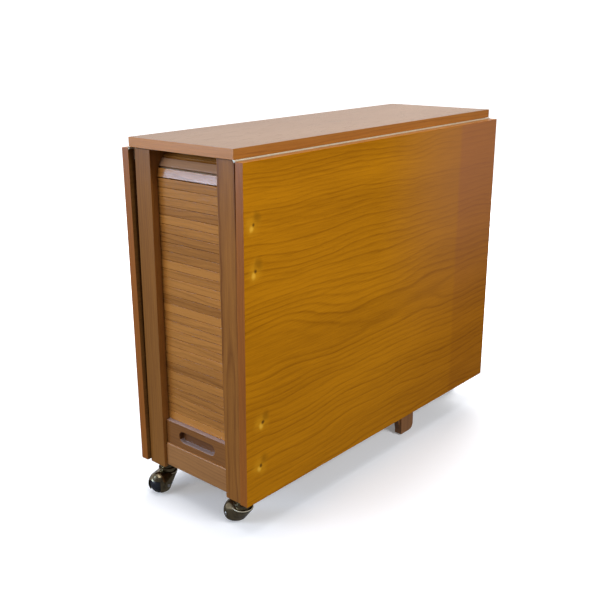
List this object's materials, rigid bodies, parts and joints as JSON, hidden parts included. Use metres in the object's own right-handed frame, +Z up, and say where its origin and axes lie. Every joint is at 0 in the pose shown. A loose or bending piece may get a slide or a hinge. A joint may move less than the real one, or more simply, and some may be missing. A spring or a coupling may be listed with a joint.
{
  "type": "drop leaf table",
  "caption": "Gateleg drop leaf table on ball casters: narrow storage carcase with a tambour end door and two long hanging leaves.",
  "frame": {"origin": "on the floor under the middle of the table", "axes": "+X along the top away from the tambour door, +Y across the top towards the far leaf, +Z up"},
  "size_m": [0.9042, 0.3286, 0.748],
  "materials": {
    "teak_veneer": "satin oiled teak veneer on board",
    "teak_solid": "satin oiled solid teak",
    "teak_slats": "satin teak slats on canvas",
    "inner_ply": "matte plywood",
    "hinge_brass": "bright brass strip",
    "caster_bronze": "antique bronze, lacquered",
    "steel": "plated steel",
    "caster_ball": "gloss black"
  },
  "bodies": {
    "carcase": {"fixed_top": "teak_veneer", "post_front_near": "teak_solid", "post_front_far": "teak_solid", "post_back_near": "teak_solid", "post_back_far": "teak_solid", "front_plinth_rail": "teak_solid", "back_plinth_rail": "teak_solid", "side_panel_near": "teak_veneer", "side_panel_far": "teak_veneer", "end_panel": "teak_veneer", "floor_board": "inner_ply", "top_cross_rail": "inner_ply", "tambour_track_near": "inner_ply", "tambour_track_far": "inner_ply", "tambour_curtain": "teak_slats", "tambour_bend": "teak_slats", "hinge_fixed_near": "hinge_brass", "hinge_pin_near": "steel", "gate_batten_near": "teak_solid", "gate_stile_near": "teak_solid", "gate_leg_near": "teak_solid", "gate_lower_rail_near": "teak_solid", "gate_upper_rail_near": "teak_solid", "gate_hinge_lower_near": "hinge_brass", "gate_hinge_upper_near": "hinge_brass", "hinge_fixed_far": "hinge_brass", "hinge_pin_far": "steel", "gate_batten_far": "teak_solid", "gate_stile_far": "teak_solid", "gate_leg_far": "teak_solid", "gate_lower_rail_far": "teak_solid", "gate_upper_rail_far": "teak_solid", "gate_hinge_lower_far": "hinge_brass", "gate_hinge_upper_far": "hinge_brass", "caster_socket_front_near": "steel", "caster_socket_front_far": "steel", "caster_socket_back_near": "steel", "caster_socket_back_far": "steel"},
    "leaf_near": {"leaf_near": "teak_veneer", "hinge_moving_near": "hinge_brass"},
    "leaf_far": {"leaf_far": "teak_veneer", "hinge_moving_far": "hinge_brass"},
    "tambour_door": {"handle_rail": "teak_solid", "tambour_lead_slats": "teak_slats"},
    "caster_front_near": {"caster_hood_front_near": "caster_bronze", "caster_stem_front_near": "steel", "caster_axle_front_near": "steel"},
    "ball_front_near": {"caster_ball_front_near": "caster_ball"},
    "caster_front_far": {"caster_hood_front_far": "caster_bronze", "caster_stem_front_far": "steel", "caster_axle_front_far": "steel"},
    "ball_front_far": {"caster_ball_front_far": "caster_ball"},
    "caster_back_near": {"caster_hood_back_near": "caster_bronze", "caster_stem_back_near": "steel", "caster_axle_back_near": "steel"},
    "ball_back_near": {"caster_ball_back_near": "caster_ball"},
    "caster_back_far": {"caster_hood_back_far": "caster_bronze", "caster_stem_back_far": "steel", "caster_axle_back_far": "steel"},
    "ball_back_far": {"caster_ball_back_far": "caster_ball"}
  },
  "joints": [
    {"name": "leaf_near_lift", "type": "hinge", "parent": "carcase", "child": "leaf_near", "pos_m": [0, -0.1429, 0.7266], "axis": [-1, 0, 0], "range_deg": [0, 90.76]},
    {"name": "leaf_far_lift", "type": "hinge", "parent": "carcase", "child": "leaf_far", "pos_m": [0, 0.1429, 0.7266], "axis": [1, 0, 0], "range_deg": [0, 90.76]},
    {"name": "tambour_lift", "type": "slide", "parent": "carcase", "child": "tambour_door", "axis": [0, 0, 1], "range_m": [0, 0.462], "deforming": ["tambour_curtain"]},
    {"name": "swivel_front_near", "type": "hinge", "parent": "carcase", "child": "caster_front_near", "pos_m": [-0.406, -0.112, 0.046], "axis": [0, 0, 1], "continuous": true},
    {"name": "roll_front_near", "type": "hinge", "parent": "caster_front_near", "child": "ball_front_near", "pos_m": [-0.40166, -0.08738, 0.021], "axis": [-0.9848, 0.1736, 0], "continuous": true},
    {"name": "swivel_front_far", "type": "hinge", "parent": "carcase", "child": "caster_front_far", "pos_m": [-0.406, 0.112, 0.046], "axis": [0, 0, 1], "continuous": true},
    {"name": "roll_front_far", "type": "hinge", "parent": "caster_front_far", "child": "ball_front_far", "pos_m": [-0.43081, 0.10895, 0.021], "axis": [0.1219, -0.9925, 0], "continuous": true},
    {"name": "swivel_back_near", "type": "hinge", "parent": "carcase", "child": "caster_back_near", "pos_m": [0.406, -0.057, 0.046], "axis": [0, 0, 1], "continuous": true},
    {"name": "roll_back_near", "type": "hinge", "parent": "caster_back_near", "child": "ball_back_near", "pos_m": [0.43081, -0.05395, 0.021], "axis": [-0.1219, 0.9925, 0], "continuous": true},
    {"name": "swivel_back_far", "type": "hinge", "parent": "carcase", "child": "caster_back_far", "pos_m": [0.406, 0.057, 0.046], "axis": [0, 0, 1], "continuous": true},
    {"name": "roll_back_far", "type": "hinge", "parent": "caster_back_far", "child": "ball_back_far", "pos_m": [0.43081, 0.05395, 0.021], "axis": [0.1219, 0.9925, 0], "continuous": true}
  ]
}
